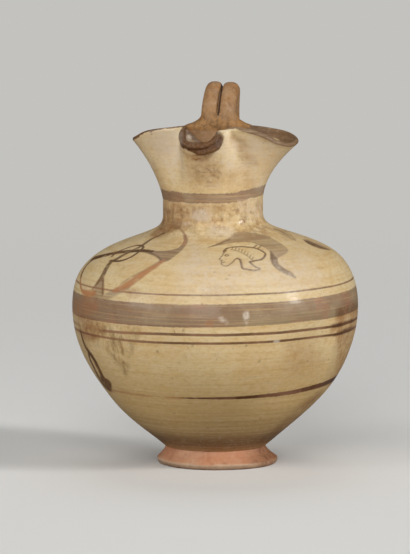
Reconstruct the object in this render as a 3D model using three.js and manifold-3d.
// A trefoil-mouthed pouring jug of thrown clay, with a ring foot and a handle of two rolls.
// Millimetres, Z up, the middle of the foot's underside at the origin, spout toward -Y,
// handle toward +Y. Every piece is a closed solid, built in the place where it stands.

import * as THREE from 'three';
import { mergeVertices } from 'three/addons/utils/BufferGeometryUtils.js';
import Module from 'manifold-3d';

// Driving dimensions of the thrown vessel

const footRadius = 39.3;
const footHeight = 11.4;
const footBaseWidth = 5.6;
const footTopWidth = 8.2;
const footEdgeRounding = 2.2;
const bodyBaseRadius = 32.6;
const bellyRadius = 93.1;
const bellyHeight = 102.8;
const shoulderRadius = 42.2;
const shoulderHeight = 152.2;
const bodyWall = 5;
const floorThickness = 6;
const bodyBaseSlope = THREE.MathUtils.degToRad(39);
const shoulderSlope = THREE.MathUtils.degToRad(22);

// Driving dimensions of the neck and the pinched mouth

const neckRadius = 32.5;
const neckWall = 4.5;
const neckStraightHeight = 19.5;
const flarePower = 1.9;
const spoutReach = 46.5;
const spoutHeight = 210.5;
const pinchAngle = 28;
const pinchReach = 32.5;
const pinchHeight = 222;
const lobeReach = 54;
const lobeHeight = 212;
const backReach = 31.5;
const backHeight = 218.5;

// Driving dimensions of the handle and of its two clay joints

const rollRadius = 6.2;
const rollSpacing = 12.7;
const handleTurn = THREE.MathUtils.degToRad(7);
const handleRise = 26;
const handleCrownReach = 46;
const handleOuterReach = 71;
const handleOuterHeight = 191;
const handleLowerReach = 64;
const handleLowerLift = 9.5;
const saddleHeight = 6.3;
const saddleSpread = 20.5;
const saddleDrop = 16;
const saddleThickness = 2.6;
const padSpread = 6;
const padDepth = 16;

// A shallow hollow that a knock left in the soft clay, and the clearance at curved joints

const dentDepth = 1.8;
const dentRadius = 24;
const dentHeight = 75;
const dentAngle = THREE.MathUtils.degToRad(-36);
const jointGap = 0.3;

// How finely round forms are divided

const latheSegments = 60;
const mouthSegments = 84;
const rollSegments = 14;
const curveSteps = 12;
const flareSteps = 10;
const rollSteps = 8;

const creamSlip = new THREE.MeshStandardMaterial({ color: '#c9b999', roughness: 0.8, metalness: 0 });
const bareClay = new THREE.MeshStandardMaterial({ color: '#c4845c', roughness: 0.9, metalness: 0 });
const handleClay = new THREE.MeshStandardMaterial({ color: '#b08657', roughness: 0.85, metalness: 0 });

// Rings of points become one closed solid that faces out

function solidFromRings(rings, ends) {
  const count = rings[0].length;
  const points = rings.flat();
  const faces = [];
  const bands = ends === 'joined' ? rings.length : rings.length - 1;
  for (let band = 0; band < bands; band += 1) {
    const low = band * count;
    const high = ((band + 1) % rings.length) * count;
    for (let i = 0; i < count; i += 1) {
      const next = (i + 1) % count;
      faces.push(low + i, low + next, high + next, low + i, high + next, high + i);
    }
  }
  if (ends === 'capped') {
    const last = (rings.length - 1) * count;
    const bottom = points.push(centreOf(rings[0])) - 1;
    const top = points.push(centreOf(rings[rings.length - 1])) - 1;
    for (let i = 0; i < count; i += 1) {
      const next = (i + 1) % count;
      faces.push(bottom, next, i, top, last + i, last + next);
    }
  }
  const geometry = new THREE.BufferGeometry().setFromPoints(points);
  geometry.setIndex(signedVolume(points, faces) > 0 ? faces : faces.reverse());
  geometry.computeVertexNormals();
  return geometry;
}

function centreOf(ring) {
  const sum = new THREE.Vector3();
  ring.forEach((point) => sum.add(point));
  return sum.divideScalar(ring.length);
}

function signedVolume(points, faces) {
  const cross = new THREE.Vector3();
  let volume = 0;
  for (let i = 0; i < faces.length; i += 3) {
    cross.crossVectors(points[faces[i + 1]], points[faces[i + 2]]);
    volume += points[faces[i]].dot(cross) / 6;
  }
  return volume;
}

// A closed profile of radius and height is turned round the jug's axis

function turned(profile) {
  const rings = [];
  for (let i = 0; i < latheSegments; i += 1) {
    const angle = (i / latheSegments) * 2 * Math.PI;
    const spin = new THREE.Vector3(Math.cos(angle), Math.sin(angle), 0);
    rings.push(profile.map((p) => spin.clone().multiplyScalar(p.x).setZ(p.y)));
  }
  return solidFromRings(rings, 'joined');
}

function turnedOnAxis(profile) {
  const lathe = new THREE.LatheGeometry(profile, latheSegments);
  lathe.rotateX(Math.PI / 2);
  return lathe;
}

// Ring foot, hollow underneath

function footProfile() {
  const innerBase = footRadius - footEdgeRounding - footBaseWidth;
  const innerTop = bodyBaseRadius - footTopWidth;
  const waist = new THREE.QuadraticBezierCurve(
    new THREE.Vector2(bodyBaseRadius, footHeight),
    new THREE.Vector2(bodyBaseRadius + (footRadius - bodyBaseRadius) * 0.25, footHeight * 0.55),
    new THREE.Vector2(footRadius, footEdgeRounding * 1.5),
  );
  const edge = new THREE.QuadraticBezierCurve(
    new THREE.Vector2(footRadius, footEdgeRounding * 1.5),
    new THREE.Vector2(footRadius + footEdgeRounding * 0.1, 0),
    new THREE.Vector2(footRadius - footEdgeRounding, 0),
  );
  const recess = new THREE.QuadraticBezierCurve(
    new THREE.Vector2(innerBase, 0),
    new THREE.Vector2(innerBase - (innerBase - innerTop) * 0.2, footHeight * 0.7),
    new THREE.Vector2(innerTop, footHeight),
  );
  return [...waist.getPoints(5), ...edge.getPoints(4).slice(1), ...recess.getPoints(4)];
}

// Belly and shoulder, one thrown wall with a flat bed for the neck

function bodyWallCurve() {
  const wall = new THREE.CurvePath();
  const rise = bellyHeight - footHeight;
  const fall = shoulderHeight - bellyHeight;
  const basePull = (bellyRadius - bodyBaseRadius) * 0.63;
  const shoulderPull = (bellyRadius - shoulderRadius) * 0.53;
  wall.add(new THREE.CubicBezierCurve(
    new THREE.Vector2(bodyBaseRadius, footHeight),
    new THREE.Vector2(
      bodyBaseRadius + basePull * Math.cos(bodyBaseSlope),
      footHeight + basePull * Math.sin(bodyBaseSlope),
    ),
    new THREE.Vector2(bellyRadius, bellyHeight - rise * 0.43),
    new THREE.Vector2(bellyRadius, bellyHeight),
  ));
  wall.add(new THREE.CubicBezierCurve(
    new THREE.Vector2(bellyRadius, bellyHeight),
    new THREE.Vector2(bellyRadius, bellyHeight + fall * 0.74),
    new THREE.Vector2(
      shoulderRadius + shoulderPull * Math.cos(shoulderSlope),
      shoulderHeight - shoulderPull * Math.sin(shoulderSlope),
    ),
    new THREE.Vector2(shoulderRadius, shoulderHeight),
  ));
  return wall;
}

function bodyOffset(distance) {
  const points = [];
  bodyWallCurve().curves.forEach((curve, index) => {
    for (let i = index; i <= curveSteps; i += 1) {
      const tangent = curve.getTangent(i / curveSteps);
      const outward = new THREE.Vector2(tangent.y, -tangent.x);
      points.push(curve.getPoint(i / curveSteps).addScaledVector(outward, distance));
    }
  });
  return points;
}

function bodyProfile() {
  const throat = neckRadius - neckWall;
  const floorHeight = footHeight + floorThickness;
  const inside = bodyOffset(-bodyWall).filter(
    (p) => p.y > floorHeight + 1 && p.y < shoulderHeight - bodyWall * 0.8 && p.x > throat + 1,
  );
  return [
    new THREE.Vector2(0, footHeight),
    ...bodyOffset(0),
    new THREE.Vector2(throat, shoulderHeight),
    new THREE.Vector2(throat + bodyWall * 0.3, shoulderHeight - bodyWall * 0.9),
    ...inside.reverse(),
    new THREE.Vector2(inside[inside.length - 1].x * 0.8, floorHeight),
    new THREE.Vector2(0, floorHeight),
  ];
}

function dented(geometry) {
  const position = geometry.getAttribute('position');
  const point = new THREE.Vector3();
  for (let i = 0; i < position.count; i += 1) {
    point.fromBufferAttribute(position, i);
    const radius = Math.hypot(point.x, point.y);
    const along = (Math.atan2(point.y, point.x) - dentAngle) * radius;
    const reach = Math.hypot(along, point.z - dentHeight) / dentRadius;
    if (radius > bodyBaseRadius && reach < 1) {
      const push = (dentDepth * (1 + Math.cos(Math.PI * reach))) / 2;
      position.setX(i, point.x * (1 - push / radius));
      position.setY(i, point.y * (1 - push / radius));
    }
  }
  geometry.computeVertexNormals();
  return geometry;
}

// Neck and trefoil mouth: the round neck opens into a spout and two lobes, pinched between

function mirrored(side) {
  const other = side.map(([angle, reach, height]) => [-angle, reach, height]).reverse();
  return [...other, ...side];
}

function mouthRim() {
  const spoutCorner = pinchAngle * 0.61;
  const lobeRoot = pinchAngle + 24;
  const side = mirrored([
    [spoutCorner, spoutReach * 0.95, spoutHeight + (pinchHeight - spoutHeight) * 0.42],
    [pinchAngle * 0.86, spoutReach * 0.81, pinchHeight - (pinchHeight - spoutHeight) * 0.2],
    [pinchAngle, pinchReach, pinchHeight],
    [pinchAngle * 1.3, pinchReach * 1.05, pinchHeight],
    [lobeRoot, lobeReach * 0.79, pinchHeight - (pinchHeight - lobeHeight) * 0.25],
    [72, lobeReach * 0.95, lobeHeight + (pinchHeight - lobeHeight) * 0.28],
    [92, lobeReach, lobeHeight],
    [120, lobeReach * 0.87, lobeHeight + (backHeight - lobeHeight) * 0.6],
    [150, backReach * 1.2, backHeight],
  ]);
  const stations = [...side, [180, backReach, backHeight]];
  const spoutPlace = side.length / 2;
  stations.splice(spoutPlace, 0, [0, spoutReach, spoutHeight]);
  const points = stations.map(([angle, reach, height]) => {
    const turn = THREE.MathUtils.degToRad(angle);
    return new THREE.Vector3(Math.sin(turn) * reach, -Math.cos(turn) * reach, height);
  });
  return new THREE.CatmullRomCurve3(points, true, 'centripetal');
}

function mouthGrid() {
  const rim = mouthRim().getSpacedPoints(mouthSegments).slice(0, mouthSegments);
  const flareStart = shoulderHeight + neckStraightHeight;
  const lipRise = neckWall / 2;
  const levels = [];
  levels.push(rim.map((edge) => neckPoint(edge, shoulderHeight)));
  for (let step = 0; step <= flareSteps; step += 1) {
    const t = step / flareSteps;
    levels.push(rim.map((edge) => {
      const foot = neckPoint(edge, flareStart);
      const point = foot.clone().lerp(edge, t ** flarePower);
      return point.setZ(flareStart + (edge.z - lipRise - flareStart) * t);
    }));
  }
  return levels;
}

function neckPoint(edge, height) {
  const reach = Math.hypot(edge.x, edge.y);
  return new THREE.Vector3((edge.x / reach) * neckRadius, (edge.y / reach) * neckRadius, height);
}

function mouthSolid(swell) {
  const levels = mouthGrid();
  const last = levels.length - 1;
  const outward = levels.map((ring, level) => ring.map((point, i) => {
    const before = ring[(i + ring.length - 1) % ring.length];
    const after = ring[(i + 1) % ring.length];
    const below = levels[Math.max(level - 1, 0)][i];
    const above = levels[Math.min(level + 1, last)][i];
    const round = after.clone().sub(before);
    const rise = above.clone().sub(below);
    const normal = new THREE.Vector3().crossVectors(round, rise);
    return level < 2 ? normal.setZ(0).normalize() : normal.normalize();
  }));
  const shifted = (level, distance) => levels[level].map(
    (point, i) => point.clone().addScaledVector(outward[level][i], distance),
  );
  const rings = levels.map((ring, level) => shifted(level, swell));
  [30, 60, 90, 120, 150].forEach((degrees) => {
    const turn = THREE.MathUtils.degToRad(degrees);
    const radius = neckWall / 2 + swell;
    rings.push(levels[last].map((point, i) => {
      const up = point.clone().sub(levels[last - 1][i]);
      up.addScaledVector(outward[last][i], -up.dot(outward[last][i])).normalize();
      const centre = point.clone().addScaledVector(outward[last][i], -neckWall / 2);
      centre.addScaledVector(outward[last][i], Math.cos(turn) * radius);
      return centre.addScaledVector(up, Math.sin(turn) * radius);
    }));
  });
  for (let level = last; level >= 0; level -= 1) {
    rings.push(shifted(level, -neckWall - swell));
  }
  return solidFromRings(rings, 'joined');
}

// Clay smoothed into the corner between the neck and the shoulder

function lutingProfile() {
  const inner = neckRadius + jointGap;
  const height = (shoulderRadius - neckRadius) * 0.8;
  const cove = new THREE.QuadraticBezierCurve(
    new THREE.Vector2(shoulderRadius - jointGap, shoulderHeight),
    new THREE.Vector2(inner + 1.2, shoulderHeight + height * 0.12),
    new THREE.Vector2(inner + 0.6, shoulderHeight + height),
  );
  return [new THREE.Vector2(inner, shoulderHeight), ...cove.getPoints(6),
    new THREE.Vector2(inner, shoulderHeight + height)];
}

// The handle's line, in the plane through the jug's axis: up from the rim, over and down

function handleLine() {
  const start = new THREE.Vector3(0, backReach - neckWall / 2 + 1.2, backHeight + saddleHeight);
  const crown = new THREE.Vector3(0, handleCrownReach, backHeight + handleRise - rollRadius);
  const outer = new THREE.Vector3(0, handleOuterReach, handleOuterHeight);
  const end = new THREE.Vector3(0, handleLowerReach, shoulderSurface(handleLowerReach) + handleLowerLift);
  const quarter = 0.55;
  const line = new THREE.CurvePath();
  line.add(new THREE.CubicBezierCurve3(
    start,
    start.clone().setZ(start.z + (crown.z - start.z) * quarter),
    crown.clone().setY(crown.y - (crown.y - start.y) * quarter),
    crown,
  ));
  line.add(new THREE.CubicBezierCurve3(
    crown,
    crown.clone().setY(crown.y + (outer.y - crown.y) * quarter),
    outer.clone().setZ(outer.z + (crown.z - outer.z) * quarter),
    outer,
  ));
  line.add(new THREE.CubicBezierCurve3(
    outer,
    outer.clone().setZ(outer.z - (outer.z - end.z) * quarter),
    end.clone().setZ(end.z + (outer.z - end.z) * 0.3),
    end,
  ));
  return line;
}

function shoulderSurface(radius) {
  const points = bodyOffset(0).filter((p) => p.y > bellyHeight);
  const after = points.findIndex((p) => p.x < radius);
  const high = points[after];
  const low = points[after - 1];
  return low.y + ((low.x - radius) / (low.x - high.x)) * (high.y - low.y);
}

function sweptRound(points, tangents, sizes, sideShift) {
  const side = new THREE.Vector3(1, 0, 0);
  const rings = points.map((point, i) => {
    const back = new THREE.Vector3().crossVectors(tangents[i], side).normalize();
    const ring = [];
    for (let k = 0; k < rollSegments; k += 1) {
      const turn = ((k + 0.5) / rollSegments) * 2 * Math.PI;
      const across = sideShift + Math.cos(turn) * sizes[i].x;
      const spot = point.clone().addScaledVector(side, across);
      ring.push(spot.addScaledVector(back, Math.sin(turn) * sizes[i].y));
    }
    return ring;
  });
  return solidFromRings(rings, 'capped');
}

function handleRoll(sideShift) {
  const points = [];
  const tangents = [];
  handleLine().curves.forEach((curve, index) => {
    for (let i = index === 0 ? 0 : 1; i <= rollSteps; i += 1) {
      points.push(curve.getPoint(i / rollSteps));
      tangents.push(curve.getTangent(i / rollSteps));
    }
  });
  const size = new THREE.Vector2(rollRadius, rollRadius);
  return sweptRound(points, tangents, points.map(() => size), sideShift);
}

// Saddle of clay that laps over the back of the rim and carries both rolls

function saddleBlank() {
  const line = handleLine().curves[0].getPoint(0);
  const up = new THREE.Vector3(0, 0, 1);
  const halfWidth = rollSpacing / 2 + rollRadius + 0.6;
  const halfDepth = rollRadius + 0.6;
  const wallMiddle = backReach - neckWall / 2;
  const lap = neckWall / 2 + saddleThickness;
  const levels = [
    [-saddleHeight - saddleDrop, saddleSpread * 0.4, lap * 0.72, wallMiddle + 0.6],
    [-saddleHeight - saddleDrop * 0.7, saddleSpread * 0.68, lap * 0.9, wallMiddle + 0.4],
    [-saddleHeight - saddleDrop * 0.35, saddleSpread * 0.92, lap, wallMiddle],
    [-saddleHeight, saddleSpread, lap * 1.1, wallMiddle],
    [-saddleHeight * 0.6, saddleSpread * 0.88, lap * 1.2, wallMiddle + 0.4],
    [-saddleHeight * 0.3, halfWidth * 1.08, halfDepth, line.y],
    [0, halfWidth, halfDepth, line.y],
  ];
  const top = line.z - jointGap;
  const points = levels.map(([rise, , , reach]) => new THREE.Vector3(0, reach, top + rise));
  const sizes = levels.map(([, width, depth]) => new THREE.Vector2(width, depth));
  return sweptRound(points, levels.map(() => up), sizes, 0);
}

// Pad of clay that seats the lower end of the handle on the shoulder

function padBlank() {
  const last = handleLine().curves[2];
  const end = last.getPoint(1);
  const down = last.getTangent(1);
  const halfWidth = rollSpacing / 2 + rollRadius + 0.6;
  const halfDepth = rollRadius + 0.6;
  const steps = [0, 0.2, 0.45, 0.7, 1];
  const points = steps.map((step) => end.clone().addScaledVector(down, jointGap + step * padDepth));
  const sizes = steps.map((step) => {
    const spread = padSpread * step ** 1.6;
    return new THREE.Vector2(halfWidth + spread, halfDepth + spread);
  });
  return sweptRound(points, steps.map(() => down), sizes, 0);
}

// Cutting one solid by another

const wasm = await Module();
wasm.setup();

function asManifold(geometry) {
  const bare = geometry.clone();
  bare.deleteAttribute('normal');
  bare.deleteAttribute('uv');
  const merged = mergeVertices(bare, 1e-4);
  return new wasm.Manifold(new wasm.Mesh({
    numProp: 3,
    vertProperties: Float32Array.from(merged.getAttribute('position').array),
    triVerts: Uint32Array.from(merged.getIndex().array),
  }));
}

function cutAway(blank, cutter) {
  const pieces = asManifold(blank).subtract(asManifold(cutter)).decompose();
  const largest = pieces.reduce((best, piece) => (piece.volume() > best.volume() ? piece : best));
  const mesh = largest.getMesh();
  const geometry = new THREE.BufferGeometry();
  geometry.setAttribute('position', new THREE.Float32BufferAttribute(mesh.vertProperties, 3));
  geometry.setIndex(Array.from(mesh.triVerts));
  geometry.computeVertexNormals();
  return geometry;
}

function filledBody(swell) {
  const skin = bodyOffset(swell);
  const top = skin[skin.length - 1];
  return turnedOnAxis([
    new THREE.Vector2(0, skin[0].y),
    ...skin,
    new THREE.Vector2(0, top.y),
  ]);
}

// The jug

function piece(name, geometry, material) {
  const mesh = new THREE.Mesh(geometry, material);
  mesh.name = name;
  return mesh;
}

const jug = new THREE.Group();
jug.name = 'trefoil_jug';
jug.add(piece('foot_ring', turned(footProfile()), bareClay));
jug.add(piece('body', dented(turnedOnAxis(bodyProfile())), creamSlip));
jug.add(piece('neck_and_mouth', mouthSolid(0), creamSlip));
jug.add(piece('neck_luting_fillet', turned(lutingProfile()), creamSlip));

const intoHandle = new THREE.Matrix4().makeRotationZ(-handleTurn);
const handleLeft = handleRoll(-rollSpacing / 2);
const handleRight = handleRoll(rollSpacing / 2);
const mouthTool = mouthSolid(jointGap).applyMatrix4(intoHandle);
const bodyTool = filledBody(jointGap);

const handle = new THREE.Group();
handle.name = 'handle';
handle.rotation.z = handleTurn;
handle.add(piece('handle_left_roll', handleLeft, handleClay));
handle.add(piece('handle_right_roll', handleRight, handleClay));
handle.add(piece('handle_rim_saddle', cutAway(saddleBlank(), mouthTool), handleClay));
handle.add(piece('handle_shoulder_pad', cutAway(padBlank(), bodyTool), handleClay));
jug.add(handle);

export default jug;
